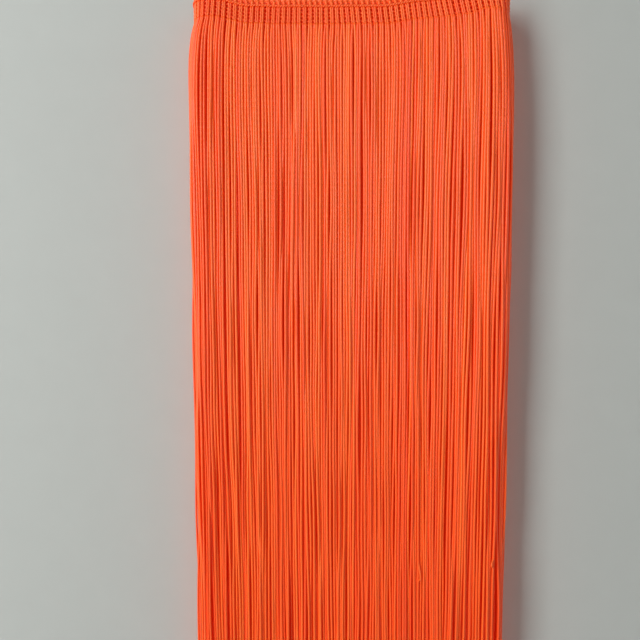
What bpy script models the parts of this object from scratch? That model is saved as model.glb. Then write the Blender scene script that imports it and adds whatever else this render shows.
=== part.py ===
"""A hank of tassel fringe trim: one yard of knitted heading with close strands hanging from it,
wound into flat turns and hung by its top edge.

Metres, +Z up. The front faces -Y, the back of the hank lies on the plane Y = 0, and the origin
is at the middle of the top edge, level with the heading's two ends.
"""

import math
import random

import bmesh
import bpy
import numpy as np
from mathutils import Vector

# The trim before it is wound
TRIM_LENGTH = 0.9144
TRIM_DROP = 0.300
HEADING_HEIGHT = 0.0092
RIB_PITCH = 0.0020

# The hank that it is wound into
TOP_WIDTH = 0.119
TOP_DEPTH = 0.017
HANK_DEPTH = 0.019
LAYER_PITCH = 0.00178
OUTER_END_X = 0.022
TURN_DROP = 0.0004
BACK_SAG_SHARE = 0.7
MEAN_TURN = 2

# The heading band
BAND_THICKNESS = 0.0012
RIB_RELIEF = 0.00016
LOOP_RISE = 0.0003
CHAIN_LINE_BELOW_TOP = 0.0018
CHAIN_LINE_HEIGHT = 0.0013
CHAIN_LINE_RELIEF = 0.0002

# The strip that holds the strands' roots, and the strands, gathered in locks
ROOT_STRIP_HEIGHT = 0.0014
ROOT_STRIP_WIDTH = 0.0014
GAP = 0.0003
ROOT_INSET = 0.0003
LOCK_SWELL = 0.00012
RIBS_PER_LOCK = (1, 2, 3, 3)
OUTER_LOCK_LEVELS = (0.012, 0.075)
INNER_LOCK_LEVELS = (0.030,)
UNEVEN_ENDS = 0.0016
WANDER = 0.00003
SEED = 7

# How far the strands spread below the heading at the hank's left and right side, and the drop
# that takes; those inside spread less
SIDE_SPREADS = (0.0026, 0.0031)
SIDE_FLARES = (0.006, 0.020)
SIDE_POWER = 5
DEPTH_FLARE = 0.015

# How far the front of the heading hangs below its ends, by place across the hank
SAG_COLUMNS = ("x", "drop")
SAG_ROWS = (
    (-0.0595, 0.0000),
    (-0.0510, 0.0004),
    (-0.0370, 0.0033),
    (-0.0250, 0.0039),
    (-0.0050, 0.0044),
    (0.0130, 0.0047),
    (0.0265, 0.0023),
    (0.0430, 0.0018),
    (0.0490, 0.0002),
    (0.0595, 0.0000),
)

# How far the heading's upright lines lean to the right for their rise, by place across the hank
LEAN_COLUMNS = ("x", "lean")
LEAN_ROWS = (
    (-0.0595, 0.08),
    (-0.0300, 0.06),
    (-0.0120, 0.00),
    (0.0020, -0.10),
    (0.0250, -0.15),
    (0.0360, -0.24),
    (0.0595, -0.24),
)

FLUORESCENT_ORANGE = (0.92, 0.115, 0.030, 1.0)
HEADING_ORANGE = (0.88, 0.105, 0.028, 1.0)

MIDDLE_Y = -HANK_DEPTH / 2
OUTER_RADIUS = (TOP_DEPTH - BAND_THICKNESS) / 2
LEFT_BEND_TURN = 0.5
HALF_STRAIGHT = (TOP_WIDTH - TOP_DEPTH + LEFT_BEND_TURN * LAYER_PITCH) / 2
SHIFT_X = -LEFT_BEND_TURN * LAYER_PITCH / 2
BAND_FOOT = ROOT_STRIP_HEIGHT + GAP


def by_column(names, rows):
    """A table's values in one list for each named column."""
    return {name: [row[i] for row in rows] for i, name in enumerate(names)}


def eased(x, xs, values):
    """The value at x, going smoothly and without overshoot from one row to the next."""
    if x <= xs[0]:
        return values[0]
    if x >= xs[-1]:
        return values[-1]
    right = int(np.searchsorted(xs, x))
    share = (x - xs[right - 1]) / (xs[right] - xs[right - 1])
    share = share * share * (3 - 2 * share)
    return values[right - 1] + share * (values[right] - values[right - 1])


class Winding:
    """The flat spiral that the band follows, seen from above, by distance from its outer end."""

    SAMPLES_PER_TURN = 2400
    MOST_TURNS = 5
    LEAD_IN = 60

    def __init__(self):
        count = self.SAMPLES_PER_TURN * self.MOST_TURNS
        turns = np.arange(-self.LEAD_IN, count + 1) / self.SAMPLES_PER_TURN
        points = np.array([self.plan_point(turn) for turn in turns])
        steps = np.linalg.norm(np.diff(points, axis=0), axis=1)
        distances = np.concatenate([[0.0], np.cumsum(steps)])
        self.distances = distances - distances[self.LEAD_IN]
        self.points = points
        self.turns = turns
        self.sag = by_column(SAG_COLUMNS, SAG_ROWS)
        self.lean = by_column(LEAN_COLUMNS, LEAN_ROWS)

    @staticmethod
    def plan_point(turn):
        """Place on the spiral after so many turns: back, right bend, front, left bend, back."""
        radius = OUTER_RADIUS - LAYER_PITCH * turn
        bend = math.pi * (OUTER_RADIUS - MEAN_TURN * LAYER_PITCH)
        lengths = (
            HALF_STRAIGHT - OUTER_END_X,
            bend,
            2 * HALF_STRAIGHT,
            bend,
            HALF_STRAIGHT + OUTER_END_X,
        )
        along = (turn % 1.0) * sum(lengths)
        stretch = 0
        while stretch < len(lengths) - 1 and along > lengths[stretch]:
            along -= lengths[stretch]
            stretch += 1
        share = along / lengths[stretch]
        places = (
            (OUTER_END_X + along, radius),
            (
                HALF_STRAIGHT + radius * math.sin(math.pi * share),
                radius * math.cos(math.pi * share),
            ),
            (HALF_STRAIGHT - along, -radius),
            (
                -HALF_STRAIGHT - radius * math.sin(math.pi * share),
                -radius * math.cos(math.pi * share),
            ),
            (-HALF_STRAIGHT + along, radius),
        )
        x, y = places[stretch]
        return (x + SHIFT_X, y + MIDDLE_Y)

    def plan(self, distance):
        """Place, direction of travel and outward direction in plan."""
        reach = RIB_PITCH / 6
        places = []
        for at in (distance - reach, distance, distance + reach):
            x = np.interp(at, self.distances, self.points[:, 0])
            y = np.interp(at, self.distances, self.points[:, 1])
            places.append(Vector((x, y)))
        travel = (places[2] - places[0]).normalized()
        return places[1], travel, Vector((-travel.y, travel.x))

    def turn(self, distance):
        """How many turns the band has made."""
        return float(np.interp(distance, self.distances, self.turns))

    def bending(self, distance):
        """Whether the band rounds one of the hank's two sides here."""
        return abs(self.plan(distance)[0].x - SHIFT_X) > HALF_STRAIGHT

    def foot_height(self, distance):
        """Height of the heading's lower edge, which sags between the sides of the hank."""
        place, _, outward = self.plan(distance)
        drop = eased(place.x, self.sag["x"], self.sag["drop"])
        front = (1 - outward.y) / 2
        share = BACK_SAG_SHARE + (1 - BACK_SAG_SHARE) * front
        return -HEADING_HEIGHT - drop * share - TURN_DROP * self.turn(distance)

    def on_band(self, distance, height, proud=0.0):
        """Point of the band, so high above its lower edge and so far proud of its middle."""
        place, travel, _ = self.plan(distance)
        lean = eased(place.x, self.lean["x"], self.lean["lean"]) * travel.x
        place, _, outward = self.plan(distance + lean * height)
        place = place + outward * proud
        return Vector((place.x, place.y, self.foot_height(distance) + height))


def lock_step(winding, distance):
    """Length of heading whose strands hang together as one lock."""
    if winding.turn(distance) < 1.0:
        return RIB_PITCH
    turn = min(int(winding.turn(distance)), len(RIBS_PER_LOCK) - 1)
    length = RIBS_PER_LOCK[turn] * RIB_PITCH
    if any(winding.bending(distance + length * share) for share in (0, 0.5, 1)):
        return RIB_PITCH
    return length


def lock_bounds(winding):
    """Distances along the trim at which one lock ends and the next begins."""
    bounds = [0.0]
    while bounds[-1] < TRIM_LENGTH - RIB_PITCH / 4:
        bounds.append(min(bounds[-1] + lock_step(winding, bounds[-1]), TRIM_LENGTH))
    return bounds


def material(name, colour, roughness):
    """A plain finish for one sub-part."""
    made = bpy.data.materials.new(name)
    made.use_nodes = True
    shader = made.node_tree.nodes["Principled BSDF"]
    shader.inputs["Base Color"].default_value = colour
    shader.inputs["Roughness"].default_value = roughness
    shader.inputs["Metallic"].default_value = 0.0
    return made


def add_object(name, mesh, finish, collection, parent):
    """Puts a mesh in the collection as one named sub-part."""
    part = bpy.data.objects.new(name, mesh)
    part.data.materials.append(finish)
    part.parent = parent
    collection.objects.link(part)
    return part


def heading_columns(winding):
    """Each upright line of the band: its distance, and 1 on a rib, -1 in a groove, 0 where plain.

    Ribs show on the outer turn alone, one above each lock.
    """
    bounds = lock_bounds(winding)
    columns = []
    for start, end in zip(bounds, bounds[1:]):
        shows = winding.turn(start) < 1.0
        columns.append((start, -1 if shows else 0))
        if end - start < 1.5 * RIB_PITCH:
            columns.append(((start + end) / 2, 1 if shows else 0))
    columns.append((bounds[-1], 0))
    return columns


def heading_mesh(winding):
    """The heading as an open band along the winding, with the outer turn's ribs in its points."""
    bm = bmesh.new()
    along = bm.verts.layers.float.new("along")
    rib_side = bm.verts.layers.int.new("rib side")
    foot = []
    for distance, side in heading_columns(winding):
        vert = bm.verts.new(winding.on_band(distance, BAND_FOOT))
        vert[along] = distance
        vert[rib_side] = side
        foot.append(vert)
    row = [bm.edges.new(pair) for pair in zip(foot, foot[1:])]

    chain_top = HEADING_HEIGHT - CHAIN_LINE_BELOW_TOP
    levels = (
        (BAND_FOOT, RIB_RELIEF, 0.0, 0.0),
        (chain_top - CHAIN_LINE_HEIGHT, 0.0, CHAIN_LINE_RELIEF, 0.0),
        (chain_top, 0.0, CHAIN_LINE_RELIEF, 0.0),
        (HEADING_HEIGHT, RIB_RELIEF, 0.0, LOOP_RISE),
    )
    row_verts = foot
    between = []
    for number, (height, rib_relief, line_relief, loop_rise) in enumerate(levels):
        if number:
            result = bmesh.ops.extrude_edge_only(bm, edges=row)
            row_verts = [item for item in result["geom"] if isinstance(item, bmesh.types.BMVert)]
            fresh = set(row_verts)
            row = [
                item
                for item in result["geom"]
                if isinstance(item, bmesh.types.BMEdge) and fresh.issuperset(item.verts)
            ]
        for vert in row_verts:
            rib = vert[rib_side]
            proud = rib * rib_relief + abs(rib) * line_relief
            rise = max(rib, 0) * loop_rise
            vert.co = winding.on_band(vert[along], height + rise, proud)
        if 0 < number < len(levels) - 1:
            between += row

    plain = [edge for edge in between if not any(vert[rib_side] for vert in edge.verts)]
    spare = {vert for edge in plain for vert in edge.verts}
    bmesh.ops.dissolve_edges(bm, edges=plain, use_verts=False)
    corner = [vert for vert in spare if vert.is_valid and len(vert.link_edges) == 2]
    bmesh.ops.dissolve_verts(bm, verts=corner)
    mesh = bpy.data.meshes.new("heading")
    bm.to_mesh(mesh)
    bm.free()
    return mesh


def make_heading(winding, collection, parent):
    """The knitted heading: one band, wound on itself."""
    finish = material("heading yarn", HEADING_ORANGE, 0.6)
    heading = add_object("heading", heading_mesh(winding), finish, collection, parent)
    thickness = heading.modifiers.new("band thickness", "SOLIDIFY")
    thickness.thickness = BAND_THICKNESS
    thickness.offset = 0.0
    return heading


def flared(place, drop):
    """Where a strand that leaves the heading at place hangs, so far below it."""
    right = int(place.x > 0)
    share = 1 - math.exp(-drop / SIDE_FLARES[right])
    spread = share * SIDE_SPREADS[right] * abs(place.x / (TOP_WIDTH / 2)) ** SIDE_POWER
    share = 1 - math.exp(-drop / DEPTH_FLARE)
    deeper = 1 + share * ((HANK_DEPTH - GAP) / TOP_DEPTH - 1)
    x = place.x + math.copysign(spread, place.x)
    return Vector((x, MIDDLE_Y + (place.y - MIDDLE_Y) * deeper))


def hang_lock(bm, face, winding, distance, outer, chance):
    """Draws one lock down from its root face, swelling below the pinched root."""
    _, travel, outward = winding.plan(distance)
    root = face.calc_center_median()
    centre = Vector((root.x, root.y))
    corners = []
    for vert in face.verts:
        away = vert.co.xy - centre
        corners.append((away.dot(travel), away.dot(outward)))
    heights = [vert.co.z for vert in face.verts]
    length = TRIM_DROP - HEADING_HEIGHT - UNEVEN_ENDS * chance.random()
    aside = Vector((chance.uniform(-WANDER, WANDER), chance.uniform(-WANDER, WANDER)))
    for drop in (OUTER_LOCK_LEVELS if outer else INNER_LOCK_LEVELS) + (length,):
        face = bmesh.ops.extrude_discrete_faces(bm, faces=[face])["faces"][0]
        for vert, (along, across), height in zip(face.verts, corners, heights):
            along += math.copysign(LOCK_SWELL, along)
            across += math.copysign(LOCK_SWELL, across)
            place = flared(centre + travel * along + outward * across, drop) + aside
            vert.co = Vector((place.x, place.y, height - drop))


def fringe_mesh(winding):
    """The strands in locks, rooted in a narrow strip just under the heading."""
    bm = bmesh.new()
    along = bm.verts.layers.float.new("along")
    inner = []
    for distance in lock_bounds(winding):
        vert = bm.verts.new(winding.on_band(distance, 0.0, -ROOT_STRIP_WIDTH / 2))
        vert[along] = distance
        inner.append(vert)
    row = [bm.edges.new(pair) for pair in zip(inner, inner[1:])]
    result = bmesh.ops.extrude_edge_only(bm, edges=row)
    for item in result["geom"]:
        if isinstance(item, bmesh.types.BMVert):
            item.co = winding.on_band(item[along], 0.0, ROOT_STRIP_WIDTH / 2)
    roots = sorted(bm.faces, key=lambda face: sum(vert[along] for vert in face.verts))
    result = bmesh.ops.extrude_face_region(bm, geom=roots, use_keep_orig=True)
    for item in result["geom"]:
        if isinstance(item, bmesh.types.BMVert):
            item.co.z += ROOT_STRIP_HEIGHT
    bmesh.ops.recalc_face_normals(bm, faces=bm.faces)
    middles = [sum(vert[along] for vert in face.verts) / len(face.verts) for face in roots]
    bmesh.ops.inset_individual(bm, faces=roots, thickness=ROOT_INSET, use_even_offset=True)
    chance = random.Random(SEED)
    for face, distance in zip(roots, middles):
        hang_lock(bm, face, winding, distance, winding.turn(distance) < 1.0, chance)
    mesh = bpy.data.meshes.new("fringe")
    bm.to_mesh(mesh)
    bm.free()
    return mesh


def make_fringe(winding, collection, parent):
    """The fringe: every strand of the trim, gathered in locks under the heading."""
    finish = material("strand yarn", FLUORESCENT_ORANGE, 0.45)
    return add_object("fringe", fringe_mesh(winding), finish, collection, parent)


def clear_scene():
    """Removes whatever the scene holds."""
    for item in list(bpy.data.objects):
        bpy.data.objects.remove(item, do_unlink=True)


def main():
    clear_scene()
    collection = bpy.data.collections.new("tassel fringe trim")
    bpy.context.scene.collection.children.link(collection)
    top_edge = bpy.data.objects.new("top edge", None)
    collection.objects.link(top_edge)
    winding = Winding()
    make_heading(winding, collection, top_edge)
    make_fringe(winding, collection, top_edge)


main()
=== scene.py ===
"""Dresses a hung hank of tassel fringe trim: knitted heading, strands, finishes, stage and camera.

Metres, +Z up, the front toward -Y. The hank is one yard of trim wound in flat turns, and every
piece follows the same winding.
"""

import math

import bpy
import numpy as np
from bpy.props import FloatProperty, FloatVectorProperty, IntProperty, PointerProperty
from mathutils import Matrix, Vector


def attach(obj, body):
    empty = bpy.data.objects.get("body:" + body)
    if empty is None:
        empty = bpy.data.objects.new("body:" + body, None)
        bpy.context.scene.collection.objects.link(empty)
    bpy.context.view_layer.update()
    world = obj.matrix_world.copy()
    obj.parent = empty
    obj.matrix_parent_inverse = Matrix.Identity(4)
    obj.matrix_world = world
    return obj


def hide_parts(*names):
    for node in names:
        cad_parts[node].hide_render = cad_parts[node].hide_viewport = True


bl_info = {
    "name": "Tassel fringe trim",
    "version": (1, 0, 0),
    "blender": (4, 5, 0),
    "location": "View3D > Sidebar > Fringe",
    "description": "Knits the heading and hangs the strands of a wound fringe trim",
    "category": "Object",
}

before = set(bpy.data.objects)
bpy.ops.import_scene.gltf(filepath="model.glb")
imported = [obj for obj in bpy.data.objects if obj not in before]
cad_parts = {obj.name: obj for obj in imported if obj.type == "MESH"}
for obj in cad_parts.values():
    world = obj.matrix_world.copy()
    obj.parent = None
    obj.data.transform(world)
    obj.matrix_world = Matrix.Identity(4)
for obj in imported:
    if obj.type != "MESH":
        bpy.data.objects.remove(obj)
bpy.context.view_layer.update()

BAKE_MAP = "OFBake"
MAP_SHARE = 0.98
MAP_MARGIN = 0.01
COLLECTION = "Fringe trim"

# The winding, as the solids have it, with the sag finer toward the right
SAG_COLUMNS = ("x", "drop")
SAG_ROWS = (
    (-0.0595, 0.0000),
    (-0.0510, 0.0004),
    (-0.0370, 0.0033),
    (-0.0250, 0.0039),
    (-0.0050, 0.0044),
    (0.0130, 0.0047),
    (0.0265, 0.0033),
    (0.0350, 0.0028),
    (0.0430, 0.0020),
    (0.0490, 0.0002),
    (0.0595, 0.0000),
)
LEAN_COLUMNS = ("x", "lean")
LEAN_ROWS = (
    (-0.0595, 0.08),
    (-0.0300, 0.06),
    (-0.0120, 0.00),
    (0.0020, -0.10),
    (0.0250, -0.15),
    (0.0360, -0.24),
    (0.0595, -0.24),
)
BACK_SAG_SHARE = 0.7
TURN_DROP = 0.0004
MEAN_TURN = 2
LEFT_BEND_TURN = 0.5
SAMPLES_PER_TURN = 2400
MOST_TURNS = 5
LEAD_IN = 60

# The yarn finishes
FINISH_COLUMNS = ("roughness", "sheen", "twists", "relief")
FINISH_ROWS = {"strand": (0.40, 0.10, 3, 0.00007), "heading": (0.48, 0.14, 2, 0.00006)}
SHEEN_ROUGHNESS = 0.35
SHEEN_TINT = (1.0, 0.45, 0.32, 1.0)
SPECULAR_LEVEL = 0.55
# Strength of the painted glow: a steady red-orange light that the yarn gives off though it is no
# lamp
PAINTED_GLOW_STRENGTH = 0.071
RELIEF_STRENGTH = 0.40
TWIST_RELIEF = 0.4
LEAST_BASE_SHARE = 0.20
BASE_SHARE_SPREAD = 0.40
ROUGHNESS_SPREAD = 0.12
STREAK_SCALE = 260.0
STREAK_STRETCH = (1.0, 1.0, 0.06)
FUZZ_SCALE = 2600.0
FUZZ_STRETCH = (1.0, 1.0, 0.25)

# The heading's yarns: half sizes of the section and the rise of one twist
YARN_COLUMNS = ("wide", "deep", "twist_pitch")
YARN_ROWS = {
    "leg": (0.00040, 0.00045, 0.0014),
    "column": (0.00054, 0.00040, 0.0014),
    "chain": (0.00027, 0.00030, 0.0016),
    "bridge": (0.00023, 0.00018, 0.0009),
    "laid in": (0.00034, 0.00024, 0.0012),
    "loop": (0.00036, 0.00030, 0.0012),
}
LEG_TAPER_HEIGHTS = (0.0, 0.0012)
LEG_TAPER = (0.75, 1.0)
HEADING_SHADES = (0.2, 0.8)

# How finely the heading is drawn on the outer turn and on those inside
DETAIL_COLUMNS = ("leg_points", "per_rib", "thread_points", "sides")
DETAIL_ROWS = ((13, 8, 34, 6), (7, 5, 26, 5))
COLUMN_POINTS = 4
LAID_IN_PER_RIB = 4
BRIDGE_SIDES = 4
LAID_IN_SIDES = 6
LOOP_SIDES = 5

# The fringe, in runs of strands from the outer turn inward
RUN_COLUMNS = ("name", "rings", "sides")
RUN_ROWS = (
    ("fringe_front", 46, 7),
    ("fringe_second", 36, 5),
    ("fringe_third", 36, 5),
    ("fringe_core", 36, 5),
)
SECOND_TURN_STRANDS = 228
THIRD_TURN_STRANDS = 212
ROOT_RINGS = (-0.0011, -0.0004, 0.0004, 0.0014, 0.0028, 0.0045, 0.0066, 0.0092, 0.0125, 0.0165)
FIRST_EVEN_RING = 0.0215

# The stage
WALL_PLACE = (0, 0.0012, 0.5)
WALL_SIZE = (3.0, 2.4)
FLOOR_PLACE = (0, 0, -0.37)
FLOOR_SIZE = (3.0, 3.0)
PAINT_ROUGHNESS = 0.75
PAINT_GRAIN = 90.0
PAINT_DARKER = 0.96
LAMP_COLUMNS = ("name", "place", "width", "height", "power")
LAMP_ROWS = (
    ("key", (-0.84, -0.82, -0.08), 0.42, 2.00, 22.2),
    ("fill", (0.9, -1.1, 0.1), 1.2, 1.2, 1.0),
    ("side", (0.9, -0.20, -0.15), 0.20, 1.40, 1.7),
    ("behind", (0.3, 1.2, 0.6), 1.0, 1.0, 8.0),
)
LAMP_AIM = (0, 0, -0.12)
ROOM_COLOUR = (0.86, 0.90, 0.88, 1.0)
ROOM_STRENGTH = 0.190
CAMERA_PLACE = (-0.0034, -0.2127, -0.1062)
CAMERA_DOWN_LEFT_ROLL = (4.37, 2.28, -0.12)
CAMERA_LENS = 29.04
CAMERA_SENSOR = 36.0

# The orange light that the hank's sides throw on the backdrop
BOUNCE_X = 0.0650
BOUNCE_Y = -0.0100
BOUNCE_WIDTH = 0.004
BOUNCE_HEIGHT = 0.29
BOUNCE_POWER = 0.0020
BOUNCE_COLOUR = (1.0, 0.12, 0.04)

# How much more the outermost strands spread than those inside
SIDE_POWER = 5

# How unevenly the ribs stand
RIB_JITTER = 0.00011
RIB_DRIFT = 0.00035
RIB_DRIFT_SPACING = 0.011
OUTER_TURN_END = 1.0

# How square the hank's corners are below the heading: 2 is round
CORNER_POWER = 2.35

# Small kinks, where a filament stands out from a front strand: place across, drop below the
# heading, how far aside and forward it is thrown, and its length above and below the throw
KINK_COLUMNS = ("x", "drop", "aside", "forward", "above", "below")
KINK_ROWS = (
    (0.0273, 0.2100, 0.0008, 0.0010, 0.0080, 0.0014),
    (0.0560, 0.2070, -0.0009, 0.0015, 0.0024, 0.0016),
)
KINK_POINTS = 26
KINK_SIDES = 6
KINK_RADIUS = 0.00036
KINK_SINK = 0.0002
KINK_FRONT_MARGIN = 0.002
KINK_SHADE = 0.8


class TrimSizes(bpy.types.PropertyGroup):
    """Sizes of the trim and of the hank that it is wound into."""

    length: FloatProperty(
        name="Length", description="Trim before it is wound", default=0.9144, unit="LENGTH"
    )
    drop: FloatProperty(
        name="Drop", description="Top edge to strand ends", default=0.300, unit="LENGTH"
    )
    heading_height: FloatProperty(
        name="Heading height", description="Knitted part", default=0.0092, unit="LENGTH"
    )
    rib_pitch: FloatProperty(
        name="Rib pitch", description="From rib to rib", default=0.0020, unit="LENGTH"
    )
    top_width: FloatProperty(
        name="Hank width at the top", description="Over the heading", default=0.119, unit="LENGTH"
    )
    top_depth: FloatProperty(
        name="Hank depth at the top", description="Over the heading", default=0.017, unit="LENGTH"
    )
    spread: FloatVectorProperty(
        name="Spread", description="Of the strands at the left and right side below the heading",
        size=2, default=(0.0026, 0.0031), unit="LENGTH",
    )
    hank_depth: FloatProperty(
        name="Hank depth", description="Over the strands", default=0.019, unit="LENGTH"
    )
    layer_pitch: FloatProperty(
        name="Layer pitch", description="From turn to turn", default=0.00178, unit="LENGTH"
    )
    band_thickness: FloatProperty(
        name="Band thickness", description="Of the heading", default=0.0012, unit="LENGTH"
    )
    outer_end_x: FloatProperty(
        name="Outer end", description="Where the trim ends, behind", default=0.022, unit="LENGTH"
    )
    flare: FloatVectorProperty(
        name="Flare", description="Drop in which the left and right side spread",
        size=2, default=(0.006, 0.020), unit="LENGTH",
    )
    depth_flare: FloatProperty(
        name="Depth flare", description="Drop in which the hank deepens", default=0.015,
        unit="LENGTH",
    )
    strand_diameter: FloatProperty(
        name="Strand", description="Thickness of one strand", default=0.00094, unit="LENGTH"
    )
    seed: IntProperty(name="Seed", description="Of the strands' wander", default=7)


class TrimColours(bpy.types.PropertyGroup):
    """Colours of the yarn and of the stage."""

    strand: FloatVectorProperty(
        name="Strands", description="Fluorescent orange", subtype="COLOR", size=4,
        default=(1.0, 0.118, 0.009, 1.0),
    )
    strand_warm: FloatVectorProperty(
        name="Warmer strands", description="Toward yellow", subtype="COLOR", size=4,
        default=(1.0, 0.192, 0.017, 1.0),
    )
    strand_deep: FloatVectorProperty(
        name="Deeper strands", description="Toward red", subtype="COLOR", size=4,
        default=(0.96, 0.058, 0.005, 1.0),
    )
    heading: FloatVectorProperty(
        name="Heading", description="Knitting yarn", subtype="COLOR", size=4,
        default=(1.0, 0.130, 0.011, 1.0),
    )
    # Painted glow: an emission colour that stands in for the dye's fluorescence and lifts the yarn's
    # shaded sides and the gaps between strands, shining without any lamp
    painted_glow: FloatVectorProperty(
        name="Glow", description="Light that the fluorescent dye gives off", subtype="COLOR",
        size=4, default=(1.0, 0.020, 0.0, 1.0),
    )
    wall: FloatVectorProperty(
        name="Backdrop", description="Pale grey", subtype="COLOR", size=4,
        default=(0.492, 0.514, 0.488, 1.0),
    )
    floor: FloatVectorProperty(
        name="Floor", description="Pale grey", subtype="COLOR", size=4,
        default=(0.55, 0.56, 0.55, 1.0),
    )


def by_column(names, rows):
    """A table's values in one list for each named column."""
    return {name: [row[i] for row in rows] for i, name in enumerate(names)}


def by_row(names, rows):
    """A table's rows, each with its values by column name."""
    return [dict(zip(names, row)) for row in rows]


def eased(x, xs, values):
    """Values at x, going smoothly and without overshoot from one row to the next."""
    xs, values = np.array(xs), np.array(values)
    x = np.clip(x, xs[0], xs[-1])
    right = np.clip(np.searchsorted(xs, x), 1, len(xs) - 1)
    share = (x - xs[right - 1]) / (xs[right] - xs[right - 1])
    share = share * share * (3 - 2 * share)
    return values[right - 1] + share * (values[right] - values[right - 1])


class Winding:
    """The flat spiral that the trim follows, seen from above, by distance from its outer end."""

    def __init__(self, sizes):
        self.sizes = sizes
        self.radius = (sizes.top_depth - sizes.band_thickness) / 2
        wound = sizes.top_width - sizes.top_depth
        self.half_straight = (wound + LEFT_BEND_TURN * sizes.layer_pitch) / 2
        self.shift_x = -LEFT_BEND_TURN * sizes.layer_pitch / 2
        self.middle_y = -sizes.hank_depth / 2
        samples = np.arange(-LEAD_IN, SAMPLES_PER_TURN * MOST_TURNS + 1)
        self.turns = samples / SAMPLES_PER_TURN
        self.points = self.plan_points(self.turns)
        steps = np.linalg.norm(np.diff(self.points, axis=0), axis=1)
        distances = np.concatenate([[0.0], np.cumsum(steps)])
        self.distances = distances - distances[LEAD_IN]
        self.sag = by_column(SAG_COLUMNS, SAG_ROWS)
        self.lean = by_column(LEAN_COLUMNS, LEAN_ROWS)
        rng = np.random.default_rng(sizes.seed)
        count = int(sizes.length / sizes.rib_pitch)
        even = (np.arange(count) + 0.5) * sizes.rib_pitch
        drift = lattice(rng, even, RIB_DRIFT_SPACING, np.zeros(1), 1.0)[:, 0]
        self.ribs = even + RIB_DRIFT * drift + rng.uniform(-RIB_JITTER, RIB_JITTER, count)

    def plan_points(self, turns):
        """Places on the spiral: back, right bend, front, left bend, back."""
        half, start = self.half_straight, self.sizes.outer_end_x
        radius = self.radius - self.sizes.layer_pitch * turns
        bend = math.pi * (self.radius - MEAN_TURN * self.sizes.layer_pitch)
        lengths = np.array([half - start, bend, 2 * half, bend, half + start])
        ends = np.cumsum(lengths)
        along = (turns % 1.0) * ends[-1]
        stretch = np.clip(np.searchsorted(ends, along), 0, len(lengths) - 1)
        along = along - np.concatenate([[0.0], ends])[stretch]
        angle = math.pi * along / lengths[stretch]
        xs = (
            start + along,
            half + radius * np.sin(angle),
            half - along,
            -half - radius * np.sin(angle),
            -half + along,
        )
        ys = (radius, radius * np.cos(angle), -radius, -radius * np.cos(angle), radius)
        x = np.choose(stretch, xs) + self.shift_x
        return np.stack([x, np.choose(stretch, ys) + self.middle_y], axis=1)

    def place(self, distance):
        x = np.interp(distance, self.distances, self.points[:, 0])
        y = np.interp(distance, self.distances, self.points[:, 1])
        return np.stack([x, y], axis=-1)

    def outward(self, distance):
        """Direction of travel and outward direction, in plan."""
        reach = self.sizes.rib_pitch / 6
        travel = self.place(distance + reach) - self.place(distance - reach)
        travel /= np.linalg.norm(travel, axis=-1, keepdims=True)
        return travel, np.stack([-travel[..., 1], travel[..., 0]], axis=-1)

    def turn(self, distance):
        return np.interp(distance, self.distances, self.turns)

    def foot_height(self, distance):
        """Height of the heading's lower edge, which sags between the sides of the hank."""
        drop = eased(self.place(distance)[..., 0], self.sag["x"], self.sag["drop"])
        front = (1 - self.outward(distance)[1][..., 1]) / 2
        share = BACK_SAG_SHARE + (1 - BACK_SAG_SHARE) * front
        fall = drop * share + TURN_DROP * self.turn(distance)
        return -self.sizes.heading_height - fall

    def on_band(self, distance, height, proud=0.0):
        """Points of the band, so high above its lower edge and so far proud of its middle."""
        lean = eased(self.place(distance)[..., 0], self.lean["x"], self.lean["lean"])
        moved = distance + lean * self.outward(distance)[0][..., 0] * height
        plan = self.place(moved) + self.outward(moved)[1] * np.asarray(proud)[..., None]
        z = self.foot_height(distance) + height
        return np.concatenate([plan, np.broadcast_to(z, plan.shape[:-1])[..., None]], axis=-1)

    def outward3(self, distance):
        out = self.outward(distance)[1]
        return np.concatenate([out, np.zeros(out.shape[:-1] + (1,))], axis=-1)


def lattice(rng, places, spacing, levels, level_spacing):
    """Smooth noise from -1 to 1 over places by levels."""
    rows = int(math.ceil(np.ptp(places) / spacing)) + 3
    columns = int(math.ceil(np.ptp(levels) / level_spacing)) + 3
    knots = rng.uniform(-1, 1, (rows, columns))
    a = (places - places.min()) / spacing
    b = (levels - levels.min()) / level_spacing + rng.uniform(0, 1)
    i, j = np.floor(a).astype(int), np.floor(b).astype(int)
    s, t = a - i, b - j
    s, t = (s * s * (3 - 2 * s))[:, None], (t * t * (3 - 2 * t))[None, :]
    i, j = i[:, None], j[None, :]
    low = knots[i, j] * (1 - s) + knots[i + 1, j] * s
    high = knots[i, j + 1] * (1 - s) + knots[i + 1, j + 1] * s
    return low * (1 - t) + high * t


def own_noise(rng, count, levels, spacing):
    """Smooth noise from -1 to 1 along each of count strands."""
    return lattice(rng, np.arange(count) * 1.0, 1.0, levels, spacing)


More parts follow.
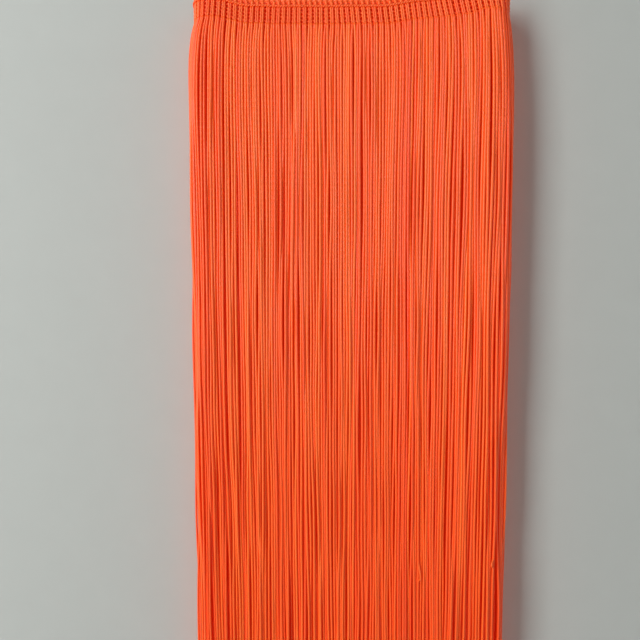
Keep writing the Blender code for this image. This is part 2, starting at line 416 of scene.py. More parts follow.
def tube_mesh(name, paths, outs, wide, deep, sides, twist_pitch, shade):
    """Closed tubes along paths, each of an oval section that outs turns, as one mesh.

    paths and outs are (tubes, points, 3), wide and deep the half sizes of the section. The
    corners carry the yarn's twist, the faces each tube's own shade, and the map lays the tubes
    side by side.
    """
    tubes, points, _ = paths.shape
    along = np.gradient(paths, axis=1)
    along /= np.linalg.norm(along, axis=2, keepdims=True)
    side = np.cross(along, outs)
    side /= np.linalg.norm(side, axis=2, keepdims=True)
    out = np.cross(side, along)
    angle = 2 * math.pi * np.arange(sides) / sides
    wide = np.broadcast_to(wide, (tubes, points))[..., None, None]
    deep = np.broadcast_to(deep, (tubes, points))[..., None, None]
    ring = (
        side[:, :, None, :] * np.cos(angle)[None, None, :, None] * wide
        + out[:, :, None, :] * np.sin(angle)[None, None, :, None] * deep
    )
    verts = (paths[:, :, None, :] + ring).reshape(-1, 3)

    t, k, j = np.meshgrid(
        np.arange(tubes), np.arange(points - 1), np.arange(sides), indexing="ij"
    )
    after = (j + 1) % sides
    base = (t * points + k) * sides
    quads = np.stack([base + j, base + after, base + sides + after, base + sides + j], axis=-1)
    first = np.arange(tubes)[:, None] * points * sides + np.arange(sides)[None, ::-1]
    last = (np.arange(tubes)[:, None] * points + points - 1) * sides + np.arange(sides)[None, :]
    corners = np.concatenate([quads.reshape(-1), first.reshape(-1), last.reshape(-1)])
    quad_count = tubes * (points - 1) * sides
    starts = np.concatenate(
        [np.arange(quad_count) * 4, quad_count * 4 + np.arange(2 * tubes) * sides]
    )

    mesh = bpy.data.meshes.new(name)
    mesh.vertices.add(len(verts))
    mesh.vertices.foreach_set("co", verts.astype(np.float32).ravel())
    mesh.loops.add(len(corners))
    mesh.loops.foreach_set("vertex_index", corners.astype(np.int32))
    mesh.polygons.add(len(starts))
    mesh.polygons.foreach_set("loop_start", starts.astype(np.int32))
    mesh.update(calc_edges=True)

    step = np.linalg.norm(np.diff(paths, axis=1), axis=2)
    length = np.concatenate([np.zeros((tubes, 1)), np.cumsum(step, axis=1)], axis=1)
    share = length / length[:, -1:]
    around = np.stack([j, j + 1, j + 1, j], axis=-1) / sides
    down = np.stack([k, k, k + 1, k + 1], axis=-1)
    tube = np.broadcast_to(t[..., None], down.shape)
    u = (tube + around * MAP_SHARE + MAP_MARGIN) / tubes
    v = share[tube, down]
    phase = around + length[tube, down] / twist_pitch
    flat = np.arange(sides) / sides
    caps_u = (np.arange(tubes)[:, None] + flat * MAP_SHARE + MAP_MARGIN) / tubes
    u = np.concatenate([u.ravel(), caps_u.ravel(), caps_u.ravel()])
    v = np.concatenate([v.ravel(), np.zeros(caps_u.size), np.ones(caps_u.size)])
    twist = np.concatenate([phase.ravel(), np.zeros(2 * caps_u.size)])
    layer = mesh.uv_layers.new(name=BAKE_MAP)
    layer.uv.foreach_set("vector", np.stack([u, v], axis=1).astype(np.float32).ravel())
    made = mesh.attributes.new("twist", "FLOAT", "CORNER")
    made.data.foreach_set("value", twist.astype(np.float32))
    faces = np.concatenate([np.repeat(shade, (points - 1) * sides), shade, shade])
    made = mesh.attributes.new("shade", "FLOAT", "FACE")
    made.data.foreach_set("value", faces.astype(np.float32))
    mesh.shade_smooth()
    mesh.validate()
    return mesh


class Value:
    """A number that changes over a surface, for shader maths written as an expression."""

    def __init__(self, nodes, socket):
        self.nodes = nodes
        self.socket = socket

    def maths(self, operation, *values):
        node = self.nodes.add("ShaderNodeMath", {"operation": operation}, dict(enumerate(values)))
        return Value(self.nodes, node.outputs["Value"])

    def __add__(self, other):
        return self.maths("ADD", self, other)

    def __radd__(self, other):
        return self.maths("ADD", other, self)

    def __sub__(self, other):
        return self.maths("SUBTRACT", self, other)

    def __rsub__(self, other):
        return self.maths("SUBTRACT", other, self)

    def __mul__(self, other):
        return self.maths("MULTIPLY", self, other)

    def __rmul__(self, other):
        return self.maths("MULTIPLY", other, self)

    def sine(self):
        return self.maths("SINE", self)


class Nodes:
    """A material's nodes."""

    def __init__(self, material):
        material.use_nodes = True
        self.tree = material.node_tree
        self.shader = self.tree.nodes["Principled BSDF"]

    def add(self, kind, settings=None, inputs=None):
        """Adds a node with its settings, then sets or links its sockets."""
        node = self.tree.nodes.new(kind)
        for name, value in (settings or {}).items():
            setattr(node, name, value)
        for name, value in (inputs or {}).items():
            self.feed(node.inputs[name], value)
        return node

    def feed(self, socket, value):
        """Links a value to a socket, or sets the socket to a constant."""
        if isinstance(value, Value):
            self.tree.links.new(value.socket, socket)
        elif isinstance(value, bpy.types.NodeSocket):
            self.tree.links.new(value, socket)
        else:
            socket.default_value = value

    def attribute(self, name):
        return Value(self, self.add("ShaderNodeAttribute", {"attribute_name": name}).outputs["Fac"])

    def mixed(self, factor, first, second):
        """A colour between two, by a factor."""
        node = self.add("ShaderNodeMix", {"data_type": "RGBA"}, {"Factor": factor})
        self.feed(node.inputs[6], first)
        self.feed(node.inputs[7], second)
        return node.outputs[2]

    def noise(self, scale, detail=2.0, stretch=(1.0, 1.0, 1.0)):
        """Noise over the surface, in the piece's own space, drawn out along an axis."""
        place = self.add("ShaderNodeTexCoord").outputs["Object"]
        fitted = self.add("ShaderNodeMapping", {}, {"Vector": place, "Scale": stretch})
        texture = self.add(
            "ShaderNodeTexNoise",
            {},
            {"Vector": fitted.outputs["Vector"], "Scale": scale, "Detail": detail},
        )
        return Value(self, texture.outputs["Fac"])


def colours():
    return bpy.context.scene.fringe_colours


def sizes():
    return bpy.context.scene.fringe_sizes


def yarn(name, base, warm, deep, values):
    """Twisted filament yarn: each strand of its own shade, fine slanting filaments in relief, and a
    painted glow.
    """
    material = bpy.data.materials.new(name)
    nodes = Nodes(material)
    shade = nodes.attribute("shade")
    streaks = nodes.noise(STREAK_SCALE, 3.0, STREAK_STRETCH)
    colour = nodes.mixed(shade, deep, warm)
    colour = nodes.mixed(LEAST_BASE_SHARE + BASE_SHARE_SPREAD * streaks, colour, base)
    filaments = (nodes.attribute("twist") * (2 * math.pi * values["twists"])).sine()
    fuzz = nodes.noise(FUZZ_SCALE, 2.0, FUZZ_STRETCH)
    bump = nodes.add(
        "ShaderNodeBump",
        {},
        {
            "Strength": RELIEF_STRENGTH,
            "Distance": values["relief"],
            "Height": filaments * TWIST_RELIEF + fuzz,
        },
    )
    inputs = {
        "Base Color": colour,
        "Roughness": values["roughness"] + ROUGHNESS_SPREAD * (streaks - 0.5),
        "Normal": bump.outputs["Normal"],
        "Sheen Weight": values["sheen"],
        "Sheen Roughness": SHEEN_ROUGHNESS,
        "Sheen Tint": SHEEN_TINT,
        "Specular IOR Level": SPECULAR_LEVEL,
        # Painted glow: the heading and strands give off this light under any lamp or none, which
        # lifts their shaded sides and the gaps between strands
        "Emission Color": tuple(colours().painted_glow),
        "Emission Strength": PAINTED_GLOW_STRENGTH,
    }
    for socket, value in inputs.items():
        nodes.feed(nodes.shader.inputs[socket], value)
    return material


def finish(name, kind):
    """The yarn finish of that name, made once."""
    found = bpy.data.materials.get(name)
    if found:
        return found
    c = colours()
    base = c.strand if kind == "strand" else c.heading
    values = dict(zip(FINISH_COLUMNS, FINISH_ROWS[kind]))
    return yarn(name, base, c.strand_warm, c.strand_deep, values)


def add_piece(name, mesh, material, slot, *nodes):
    """Puts a mesh in the scene as a piece of the trim that stands for the CAD nodes."""
    piece = bpy.data.objects.new(name, mesh)
    piece.data.materials.append(material)
    group = bpy.data.collections.get(COLLECTION)
    if group is None:
        group = bpy.data.collections.new(COLLECTION)
        bpy.context.scene.collection.children.link(group)
    group.objects.link(piece)
    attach(piece, "root")
    for node in nodes:
        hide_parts(node)
    return piece


class Knit:
    """Works out the heading's yarns over a run of ribs."""

    CHAIN_MIDDLE = 0.0070
    CHAIN_SWING = 0.00018
    CHAIN_PROUD = 0.00042
    CHAIN_PROUD_SWING = 0.00020
    LEG_FOOT = 0.0002
    LEG_HEAD_BELOW_CHAIN = 0.0003
    LEG_APART = 0.00032
    LEG_SWING = 0.00008
    LEG_PROUD = 0.00012
    FOOT_SINK = 0.00050
    FOOT_LENGTH = 0.0012
    STITCH = 0.00135
    COLUMN_INTO_LOOPS = 0.0003
    THREAD_FOOT = 0.0003
    THREAD_HEAD_BELOW_CHAIN = 0.0002
    THREAD_START = 0.6
    THREAD_PROUD = 0.00012
    THREAD_SWING = 0.00072
    THREAD_DEPTHS = (0.00004, 0.00028)
    LAID_IN_COLUMNS = ("height", "depth")
    LAID_IN_ROWS = ((0.0074, 0.00075), (0.0079, 0.00070), (0.0084, 0.00030), (0.0088, 0.00022))
    LAID_IN_SWING = 0.00008
    LOOP_BASE = 0.0086
    LOOP_RISE = 0.0007
    SECOND_LOOP_LOWER = 0.0002
    LOOP_SWING = 0.00022
    LOOP_ROUNDNESS = 0.7

    def __init__(self, winding, first, last, rng):
        self.winding = winding
        self.rng = rng
        self.pitch = winding.sizes.rib_pitch
        self.ribs = np.arange(first, last)
        self.rib_places = winding.ribs[first:last]
        self.gap_places = self.rib_places - self.pitch / 2
        self.gap_places[1:] = (self.rib_places[1:] + self.rib_places[:-1]) / 2
        self.start = first * self.pitch
        self.end = last * self.pitch

    def cord(self, distance, height, proud):
        paths = self.winding.on_band(distance, height, proud)
        return paths, self.winding.outward3(distance)

    def leg_heights(self, points):
        return np.linspace(self.LEG_FOOT, self.CHAIN_MIDDLE - self.LEG_HEAD_BELOW_CHAIN, points)

    def rib_legs(self, points):
        """Two slanting legs of chain stitches up each rib."""
        height = self.leg_heights(points)
        phase = 2 * math.pi * height / self.STITCH
        paths, outs = [], []
        for leg in (-1, 1):
            aside = leg * (self.LEG_APART - self.LEG_SWING * np.cos(phase))
            sunk = np.clip(1 - height / self.FOOT_LENGTH, 0, 1) ** 2
            proud = self.LEG_PROUD * (1 + np.sin(phase)) - self.FOOT_SINK * sunk
            where = self.rib_places[:, None] + aside[None, :]
            made = self.cord(where, height[None, :] + 0 * where, proud[None, :] + 0 * where)
            paths.append(made[0])
            outs.append(made[1])
        return np.concatenate(paths), np.concatenate(outs)

    def columns(self, points):
        """One thinner leg of each rib, from the chain line up to the loops."""
        height = np.linspace(self.CHAIN_MIDDLE, self.LOOP_BASE + self.COLUMN_INTO_LOOPS, points)
        where = self.rib_places[:, None] + 0 * height[None, :]
        return self.cord(where, height[None, :] + 0 * where, 0 * where)

    def along(self, per_rib):
        count = len(self.ribs) * per_rib + 1
        return np.linspace(self.start, self.end, count)

    def chain(self, per_rib):
        """The thick line of chain stitches: two cords that cross at every rib."""
        where = self.along(per_rib)
        phase = 2 * math.pi * where / self.pitch
        paths, outs = [], []
        for side in (-1, 1):
            height = self.CHAIN_MIDDLE + side * self.CHAIN_SWING * np.cos(phase)
            proud = self.CHAIN_PROUD + side * self.CHAIN_PROUD_SWING * np.sin(phase)
            made = self.cord(where, height, proud)
            paths.append(made[0])
            outs.append(made[1])
        return np.stack(paths), np.stack(outs)

    def bridges(self, points):
        """A fine thread up each gap, which zigzags between its two ribs."""
        top = self.CHAIN_MIDDLE - self.THREAD_HEAD_BELOW_CHAIN
        height = np.linspace(self.THREAD_FOOT, top, points)
        count = len(self.ribs)
        start = self.rng.uniform(-self.THREAD_START, self.THREAD_START, count)[:, None]
        phase = math.pi * height[None, :] / self.STITCH + start
        where = self.gap_places[:, None] + self.THREAD_SWING * np.cos(phase)
        where = np.clip(where, 0.0, self.winding.sizes.length)
        depth = self.rng.uniform(*self.THREAD_DEPTHS, count)[:, None]
        proud = self.THREAD_PROUD * np.cos(phase) ** 2 - depth
        return self.cord(where, height[None, :] + 0 * where, proud)

    def laid_in(self, per_rib):
        """Yarns laid in behind the columns of the short row."""
        where = self.along(per_rib)
        phase = 2 * math.pi * where / self.pitch
        rows = by_column(self.LAID_IN_COLUMNS, self.LAID_IN_ROWS)
        paths, outs = [], []
        for number, (height, depth) in enumerate(zip(rows["height"], rows["depth"])):
            proud = self.LAID_IN_SWING * np.cos(phase + number) - depth
            made = self.cord(where, height + 0 * where, proud)
            paths.append(made[0])
            outs.append(made[1])
        return np.stack(paths), np.stack(outs)

    def loops(self, per_rib):
        """Rounded loops along the top edge, in two yarns that take turns in front."""
        where = self.along(per_rib)
        paths, outs = [], []
        for shift in (0.0, 0.5):
            turn = where / self.pitch + shift
            arch = np.abs(np.sin(math.pi * turn)) ** self.LOOP_ROUNDNESS
            rise = self.LOOP_RISE - self.SECOND_LOOP_LOWER * (shift > 0)
            height = self.LOOP_BASE + rise * arch
            proud = self.LOOP_SWING * np.cos(2 * math.pi * turn) * (1 if shift else -1)
            made = self.cord(where, height, proud)
            paths.append(made[0])
            outs.append(made[1])
        return np.stack(paths), np.stack(outs)


def joined(name, groups):
    """One mesh from several groups of tubes."""
    meshes = [tube_mesh(f"{name}_{number}", **group) for number, group in enumerate(groups)]
    objects = [bpy.data.objects.new(mesh.name, mesh) for mesh in meshes]
    for item in objects:
        bpy.context.scene.collection.objects.link(item)
    bpy.ops.object.select_all(action="DESELECT")
    for item in objects:
        item.select_set(True)
    bpy.context.view_layer.objects.active = objects[0]
    if len(objects) > 1:
        bpy.ops.object.join()
    mesh = objects[0].data
    mesh.name = name
    bpy.data.objects.remove(objects[0])
    return mesh


def rib_counts(winding):
    """Ribs in the whole trim, and in its outer turn."""
    total = int(winding.sizes.length / winding.sizes.rib_pitch)
    edges = winding.turn(np.arange(total + 1) * winding.sizes.rib_pitch)
    return total, int(np.searchsorted(edges, OUTER_TURN_END)) + 1


class FRINGE_OT_heading(bpy.types.Operator):
    """Knits the heading: ribs, chain line, bridging threads and the loops of the top edge"""

    bl_idname = "fringe.heading"
    bl_label = "Heading"

    def execute(self, context):
        winding = Winding(sizes())
        total, outer = rib_counts(winding)
        rng = np.random.default_rng(sizes().seed)
        material = finish("heading yarn", "heading")

        def group(made, name, sides, taper=1.0):
            paths, outs = made
            section = dict(zip(YARN_COLUMNS, YARN_ROWS[name]))
            return {
                "paths": paths,
                "outs": outs,
                "wide": section["wide"] * taper,
                "deep": section["deep"] * taper,
                "sides": sides,
                "twist_pitch": section["twist_pitch"],
                "shade": rng.uniform(*HEADING_SHADES, len(paths)),
            }

        knitted, crossing, edging = [], [], []
        spans = ((0, outer), (outer, total))
        for (first, last), detail in zip(spans, by_row(DETAIL_COLUMNS, DETAIL_ROWS)):
            knit = Knit(winding, first, last, rng)
            sides, per_rib = detail["sides"], detail["per_rib"]
            heights = knit.leg_heights(detail["leg_points"])
            taper = np.interp(heights, LEG_TAPER_HEIGHTS, LEG_TAPER)
            knitted.append(group(knit.rib_legs(len(heights)), "leg", sides, taper))
            knitted.append(group(knit.columns(COLUMN_POINTS), "column", sides))
            knitted.append(group(knit.chain(per_rib), "chain", sides))
            bridges = knit.bridges(detail["thread_points"])
            crossing.append(group(bridges, "bridge", BRIDGE_SIDES))
            crossing.append(group(knit.laid_in(LAID_IN_PER_RIB), "laid in", LAID_IN_SIDES))
            edging.append(group(knit.loops(per_rib), "loop", LOOP_SIDES))
        band = add_piece(
            "heading_knit", joined("heading_knit", knitted), material, "heading_yarn", "heading"
        )
        threads = add_piece(
            "heading_threads", joined("heading_threads", crossing), material, "heading_yarn"
        )
        loops = add_piece("heading_loops", joined("heading_loops", edging), material, "heading_yarn")
        context.scene["fringe_on_heading"] = [threads.name, loops.name]
        context.view_layer.update()
        return {"FINISHED"}


class Hanging:
    """Works out how a run of strands hangs."""

    ROOT_APART = 0.00036
    SPREAD_LENGTHS = (0.0012, 0.0060)
    CLING = 0.20
    CLING_LENGTH = 0.035
    RAMP_LENGTH = 0.009
    OWN_RAMP_LENGTH = 0.004
    ROOT_PROUD = 0.00010
    ROOT_PROUD_LENGTH = 0.004
    SIDE_UNEVEN = 0.6
    UNEVEN_ENDS = 0.006
    END_CLEARANCE = 0.0002
    DEPTH_CLEARANCE = 0.0003

    # Amounts of wander, and the lengths over which each changes across and along the strands
    SHARED_COLUMNS = ("amount", "across", "along")
    SHARED_ASIDE = ((0.00060, 0.0036, 0.075), (0.00075, 0.0125, 0.140))
    SHARED_OUTWARD = ((0.00030, 0.0060, 0.090),)
    OWN_COLUMNS = ("amount", "along")
    OWN_ASIDE = ((0.00038, 0.040), (0.00018, 0.014))
    OWN_OUTWARD = ((0.00060, 0.055),)
    DEEPER_DROPS = (0.0, 0.10, 0.29)
    DEEPER = (0.45, 0.80, 1.40)

    # Moving strands apart that would lie in one another
    TOUCH_SHARE = 0.9
    RELAX_ROUNDS = 14
    NEIGHBOURS = (1, 2, 3)
    PUSH_SHARE = 0.5
    ASIDE_SHARE = 0.35
    OUTWARD_LIMITS = (-0.0011, 0.0010)
    SMOOTH_ROUNDS = 2

    # Thickness and shade
    ROOT_THINNING = 0.14
    SWELL_START = 0.0012
    SWELL_LENGTH = 0.004
    FULLNESS_DROPS = (0.0, 0.10, 0.20)
    FULLNESS = (1.16, 1.10, 0.98)
    UNEVEN_RADIUS = 0.05
    UNEVEN_RADIUS_LENGTH = 0.02
    FLATNESS = 0.96
    TWIST_PITCH = 0.0062
    SHADE_SPREAD = 0.22
    SHARED_SHADE = 0.24
    SHARED_SHADE_STRANDS = 7.0

    def __init__(self, winding, rng, levels):
        self.winding = winding
        self.rng = rng
        self.levels = levels
        self.pitch = winding.sizes.rib_pitch / 2
        self.count = int(winding.sizes.length / self.pitch)

    def wander(self, strands):
        """Sideways and outward wander of neighbouring strands, at each level."""
        drops = np.clip(self.levels, 0, None)
        places = strands * self.pitch
        ramp = 1 - np.exp(-drops / self.RAMP_LENGTH)
        own_ramp = 1 - np.exp(-drops / self.OWN_RAMP_LENGTH)
        aside = ramp * self.shared(places, self.SHARED_ASIDE)
        aside += own_ramp * self.own(len(strands), self.OWN_ASIDE)
        deeper = np.interp(self.levels, self.DEEPER_DROPS, self.DEEPER)
        outward = ramp * deeper * self.shared(places, self.SHARED_OUTWARD)
        outward += own_ramp * deeper * self.own(len(strands), self.OWN_OUTWARD)
        return self.relaxed(aside, outward, places)

    def shared(self, places, rows):
        """Wander that neighbouring strands have in common."""
        return sum(
            row["amount"] * lattice(self.rng, places, row["across"], self.levels, row["along"])
            for row in by_row(self.SHARED_COLUMNS, rows)
        )

    def own(self, count, rows):
        """Each strand's own wander."""
        return sum(
            row["amount"] * own_noise(self.rng, count, self.levels, row["along"])
            for row in by_row(self.OWN_COLUMNS, rows)
        )

    def relaxed(self, aside, outward, places):
        """Moves strands that would lie in one another apart, mostly outward or inward."""
        touch = self.winding.sizes.strand_diameter * self.TOUCH_SHARE
        places = places[:, None]
        for _ in range(self.RELAX_ROUNDS):
            for apart in self.NEIGHBOURS:
                gap_a = (places + aside)[apart:] - (places + aside)[:-apart]
                gap_o = outward[apart:] - outward[:-apart]
                gap_o = np.where(np.abs(gap_o) < 1e-6, 1e-6, gap_o)
                distance = np.sqrt(gap_a**2 + gap_o**2)
                push = np.clip(touch - distance, 0, None) / 2 / distance * self.PUSH_SHARE
                aside[apart:] += push * gap_a * self.ASIDE_SHARE
                aside[:-apart] -= push * gap_a * self.ASIDE_SHARE
                outward[apart:] += push * gap_o
                outward[:-apart] -= push * gap_o
            outward = np.clip(outward, *self.OUTWARD_LIMITS)
        inner = slice(1, -1)
        for _ in range(self.SMOOTH_ROUNDS):
            for field in (aside, outward):
                field[:, inner] = (field[:, :-2] + 2 * field[:, inner] + field[:, 2:]) / 4
        return aside, outward

    def paths(self, first, last):
        """Centre lines of the strands from first to last, and their outward directions."""
        winding, size = self.winding, self.winding.sizes
        strands = np.arange(first, last)
        aside, outward = self.wander(strands)
        levels = np.clip(self.levels, 0, None)
        reach = self.rng.uniform(*self.SPREAD_LENGTHS, len(strands))[:, None]
        spread = 1 - np.exp(-levels[None, :] / reach)
        cling = self.CLING * self.rng.uniform(0, 1, len(strands))[:, None]
        cling = 1 - cling * np.exp(-levels[None, :] / self.CLING_LENGTH)
        half = self.ROOT_APART + spread * (self.pitch / 2 * cling - self.ROOT_APART)
        rib = winding.ribs[np.minimum(strands // 2, len(winding.ribs) - 1)]
        side = np.where(strands % 2, 1, -1)
        distance = rib[:, None] + side[:, None] * half
        distance = np.clip(distance, self.END_CLEARANCE, size.length - self.END_CLEARANCE)
        plan = winding.place(distance)
        travel, out = winding.outward(distance)
        plan = self.flared(plan, levels) + travel * aside[..., None]
        bent = np.abs(winding.place(rib)[:, 0] - winding.shift_x) > winding.half_straight
        outward = outward * (1 + self.SIDE_UNEVEN * bent[:, None])
        proud = self.ROOT_PROUD * np.exp(-levels / self.ROOT_PROUD_LENGTH)
        plan = plan + out * (outward + proud)[..., None]
        foot = winding.foot_height(rib)[:, None]
        uneven = 1 - self.UNEVEN_ENDS * self.rng.uniform(0, 1, len(strands))[:, None]
        z = foot - np.where(self.levels > 0, self.levels * uneven, self.levels)
        paths = np.concatenate([plan, z[..., None]], axis=-1)
        return paths, np.concatenate([out, np.zeros(out.shape[:-1] + (1,))], axis=-1)

    def flared(self, plan, levels):
        """Spreads places in plan as the strands spread below the heading, most at the sides."""
        size, winding = self.winding.sizes, self.winding
        x, y = plan[..., 0] - winding.shift_x, plan[..., 1] - winding.middle_y
        over = np.clip(np.abs(x) - winding.half_straight, 0, None)
        radius = np.maximum(np.hypot(over, y), 1e-6)
        bent = over > 0
        share = 1 - np.exp(-levels / size.depth_flare)
        squarer = 2 / CORNER_POWER - 1
        across = over * (np.clip(over / radius, 1e-3, 1) ** (share * squarer) * bent + ~bent)
        x = np.sign(x) * (np.abs(x) - over + across)
        y = np.where(bent, y * np.clip(np.abs(y) / radius, 1e-3, 1) ** (share * squarer), y)
        x = x + winding.shift_x
        right = (x > 0).astype(int)
        spread = np.array(size.spread)[right] * (1 - np.exp(-levels / np.array(size.flare)[right]))
        x = x + np.sign(x) * spread * np.abs(x / (size.top_width / 2)) ** SIDE_POWER
        below = size.hank_depth - self.DEPTH_CLEARANCE
        deeper = 1 + share * (below / size.top_depth - 1)
        return np.stack([x, winding.middle_y + y * deeper], axis=-1)

    def radii(self, count):
        """Radius of each strand at each level: thin at the root, fullest just below it."""
        levels = self.levels
        swell = 1 - np.exp(-np.clip(levels + self.SWELL_START, 0, None) / self.SWELL_LENGTH)
        radius = self.winding.sizes.strand_diameter / 2 * (1 - self.ROOT_THINNING * (1 - swell))
        radius = radius * np.interp(levels, self.FULLNESS_DROPS, self.FULLNESS)
        uneven = own_noise(self.rng, count, levels, self.UNEVEN_RADIUS_LENGTH)
        return radius[None, :] * (1 + self.UNEVEN_RADIUS * uneven)

    def shades(self, count):
        """Shade of each strand, from 0 for deep to 1 for warm."""
        shade = self.rng.normal(0.5, self.SHADE_SPREAD, count)
        places = np.arange(count) * 1.0
        shared = lattice(self.rng, places, self.SHARED_SHADE_STRANDS, np.zeros(1), 1.0)[:, 0]
        return np.clip(shade + self.SHARED_SHADE * shared, 0, 1)

    def kinks(self, paths):
        """Filaments that stand out of the front strands over a short stretch."""
        made = []
        t = np.linspace(-1.0, 1.0, KINK_POINTS)
        throw = np.cos(math.pi * t / 2) ** np.where(t < 0, 2.0, 1.0)
        for row in by_row(KINK_COLUMNS, KINK_ROWS):
            level = int(np.argmin(np.abs(self.levels - row["drop"])))
            behind = paths[:, level, 1] > self.winding.middle_y - KINK_FRONT_MARGIN
            strand = int(np.argmin(np.abs(paths[:, level, 0] - row["x"]) + behind * 1.0))
            drop = row["drop"] + np.where(t < 0, t * row["above"], t * row["below"])
            line = [np.interp(drop, self.levels, paths[strand, :, axis]) for axis in range(3)]
            line[0] = line[0] + row["aside"] * throw
            line[1] = line[1] - row["forward"] * throw + KINK_SINK
            made.append(np.stack(line, axis=-1))
        return np.array(made)


def hang_levels(drop, count):
    """Drops below the heading at which a strand has a ring: close at the root, then even."""
    return np.concatenate([ROOT_RINGS, np.linspace(FIRST_EVEN_RING, drop, count)])


class FRINGE_OT_strands(bpy.types.Operator):
    """Hangs every strand of the fringe, turn by turn"""

    bl_idname = "fringe.strands"
    bl_label = "Strands"

    def execute(self, context):
        size = sizes()
        winding = Winding(size)
        material = finish("strand yarn", "strand")
        total, outer = rib_counts(winding)
        hang = size.drop - size.heading_height
        bounds = np.cumsum([0, 2 * outer, SECOND_TURN_STRANDS, THIRD_TURN_STRANDS])
        bounds = [int(bound) for bound in bounds] + [2 * total]
        for number, run in enumerate(by_row(RUN_COLUMNS, RUN_ROWS)):
            first, last = bounds[number : number + 2]
            rng = np.random.default_rng(size.seed + number)
            hanging = Hanging(winding, rng, hang_levels(hang, run["rings"]))
            paths, outs = hanging.paths(first, last)
            radius = hanging.radii(last - first)
            mesh = tube_mesh(
                run["name"], paths, outs, radius, radius * hanging.FLATNESS, run["sides"],
                hanging.TWIST_PITCH, hanging.shades(last - first),
            )
            piece = add_piece(run["name"], mesh, material, "strand_yarn", "fringe")
            if first == 0:
                kinks = hanging.kinks(paths)
                forward = np.broadcast_to(np.array([0.0, -1.0, 0.0]), kinks.shape)
                mesh = tube_mesh(
                    "fringe_kinks", kinks, forward, KINK_RADIUS, KINK_RADIUS, KINK_SIDES,
                    hanging.TWIST_PITCH, np.full(len(kinks), KINK_SHADE),
                )
                add_piece("fringe_kinks", mesh, material, "strand_yarn").name
        return {"FINISHED"}


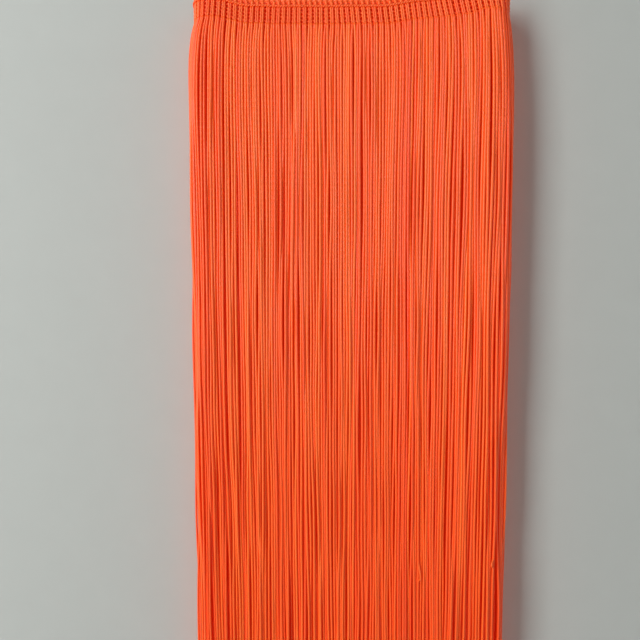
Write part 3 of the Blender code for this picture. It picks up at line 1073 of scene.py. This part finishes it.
class FRINGE_OT_stage(bpy.types.Operator):
    """Adds the pale backdrop and floor, the soft lights and the camera"""

    bl_idname = "fringe.stage"
    bl_label = "Stage"

    def execute(self, context):
        self.add_backdrop(context)
        self.add_lights(context)
        self.add_camera(context)
        context.scene.view_settings.view_transform = "Standard"
        context.scene.view_settings.look = "None"
        return {"FINISHED"}

    def plane(self, context, name, size, place, turn, colour):
        mesh = bpy.data.meshes.new(name)
        x, y = size[0] / 2, size[1] / 2
        mesh.from_pydata([(-x, -y, 0), (x, -y, 0), (x, y, 0), (-x, y, 0)], [], [(0, 1, 2, 3)])
        item = bpy.data.objects.new(name, mesh)
        item.location = place
        item.rotation_euler = turn
        material = bpy.data.materials.new(name + " paint")
        nodes = Nodes(material)
        grain = nodes.noise(PAINT_GRAIN, 3.0)
        darker = [value * PAINT_DARKER for value in colour[:3]] + [1.0]
        nodes.feed(nodes.shader.inputs["Base Color"], nodes.mixed(grain, darker, tuple(colour)))
        nodes.feed(nodes.shader.inputs["Roughness"], PAINT_ROUGHNESS)
        mesh.materials.append(material)
        context.scene.collection.objects.link(item)
        return item

    def add_backdrop(self, context):
        upright = (math.pi / 2, 0, 0)
        wall = self.plane(context, "backdrop", WALL_SIZE, WALL_PLACE, upright, colours().wall)
        wall.visible_shadow = False
        nodes = Nodes(wall.data.materials[0])
        clear = nodes.add("ShaderNodeBsdfTransparent")
        back = nodes.add("ShaderNodeNewGeometry").outputs["Backfacing"]
        surfaces = {0: back, 1: nodes.shader.outputs[0], 2: clear.outputs[0]}
        which = nodes.add("ShaderNodeMixShader", {}, surfaces)
        nodes.feed(nodes.tree.nodes["Material Output"].inputs["Surface"], which.outputs[0])
        self.plane(context, "floor", FLOOR_SIZE, FLOOR_PLACE, (0, 0, 0), colours().floor)

    def lamp(self, context, name, place, turn, width, height, power):
        data = bpy.data.lights.new(name, "AREA")
        data.shape = "RECTANGLE"
        data.size = width
        data.size_y = height
        data.energy = power
        lamp = bpy.data.objects.new(name, data)
        lamp.location = place
        lamp.rotation_euler = turn
        context.scene.collection.objects.link(lamp)
        return lamp

    def add_lights(self, context):
        for row in by_row(LAMP_COLUMNS, LAMP_ROWS):
            toward = Vector(LAMP_AIM) - Vector(row["place"])
            turn = toward.to_track_quat("-Z", "Y").to_euler()
            self.lamp(
                context, row["name"], row["place"], turn, row["width"], row["height"], row["power"]
            )
        for side in (-1, 1):
            place = (side * BOUNCE_X, BOUNCE_Y, -BOUNCE_HEIGHT / 2)
            turn = (math.pi / 2, 0, 0)
            lamp = self.lamp(
                context, "bounce", place, turn, BOUNCE_WIDTH, BOUNCE_HEIGHT, BOUNCE_POWER
            )
            lamp.data.color = BOUNCE_COLOUR
            lamp.visible_camera = False
        world = bpy.data.worlds.new("soft room")
        world.use_nodes = True
        background = world.node_tree.nodes["Background"]
        background.inputs["Color"].default_value = ROOM_COLOUR
        background.inputs["Strength"].default_value = ROOM_STRENGTH
        context.scene.world = world

    def add_camera(self, context):
        """A view from close in front, looking slightly down and left."""
        data = bpy.data.cameras.new("view")
        data.sensor_width = CAMERA_SENSOR
        data.lens = CAMERA_LENS
        camera = bpy.data.objects.new("view", data)
        camera.location = CAMERA_PLACE
        down, left, roll = (math.radians(angle) for angle in CAMERA_DOWN_LEFT_ROLL)
        camera.rotation_euler = (
            Matrix.Rotation(left, 3, "Z")
            @ Matrix.Rotation(math.pi / 2 - down, 3, "X")
            @ Matrix.Rotation(roll, 3, "Z")
        ).to_euler()
        context.scene.collection.objects.link(camera)
        context.scene.camera = camera


class FRINGE_PT_panel(bpy.types.Panel):
    """Sizes, colours and steps of the fringe trim"""

    bl_idname = "FRINGE_PT_panel"
    bl_label = "Fringe trim"
    bl_space_type = "VIEW_3D"
    bl_region_type = "UI"
    bl_category = "Fringe"

    def draw(self, context):
        layout = self.layout
        for group in (context.scene.fringe_sizes, context.scene.fringe_colours):
            box = layout.box()
            for name in group.__annotations__:
                box.prop(group, name)
        for operator in OPERATORS:
            layout.operator(operator.bl_idname)


OPERATORS = (FRINGE_OT_stage, FRINGE_OT_heading, FRINGE_OT_strands)
CLASSES = (TrimSizes, TrimColours) + OPERATORS + (FRINGE_PT_panel,)


def register():
    for item in CLASSES:
        bpy.utils.register_class(item)
    bpy.types.Scene.fringe_sizes = PointerProperty(type=TrimSizes)
    bpy.types.Scene.fringe_colours = PointerProperty(type=TrimColours)


def unregister():
    del bpy.types.Scene.fringe_colours
    del bpy.types.Scene.fringe_sizes
    for item in reversed(CLASSES):
        bpy.utils.unregister_class(item)


def main():
    register()
    bpy.ops.fringe.stage()
    bpy.ops.fringe.heading()
    bpy.ops.fringe.strands()


if __name__ == "__main__":
    main()
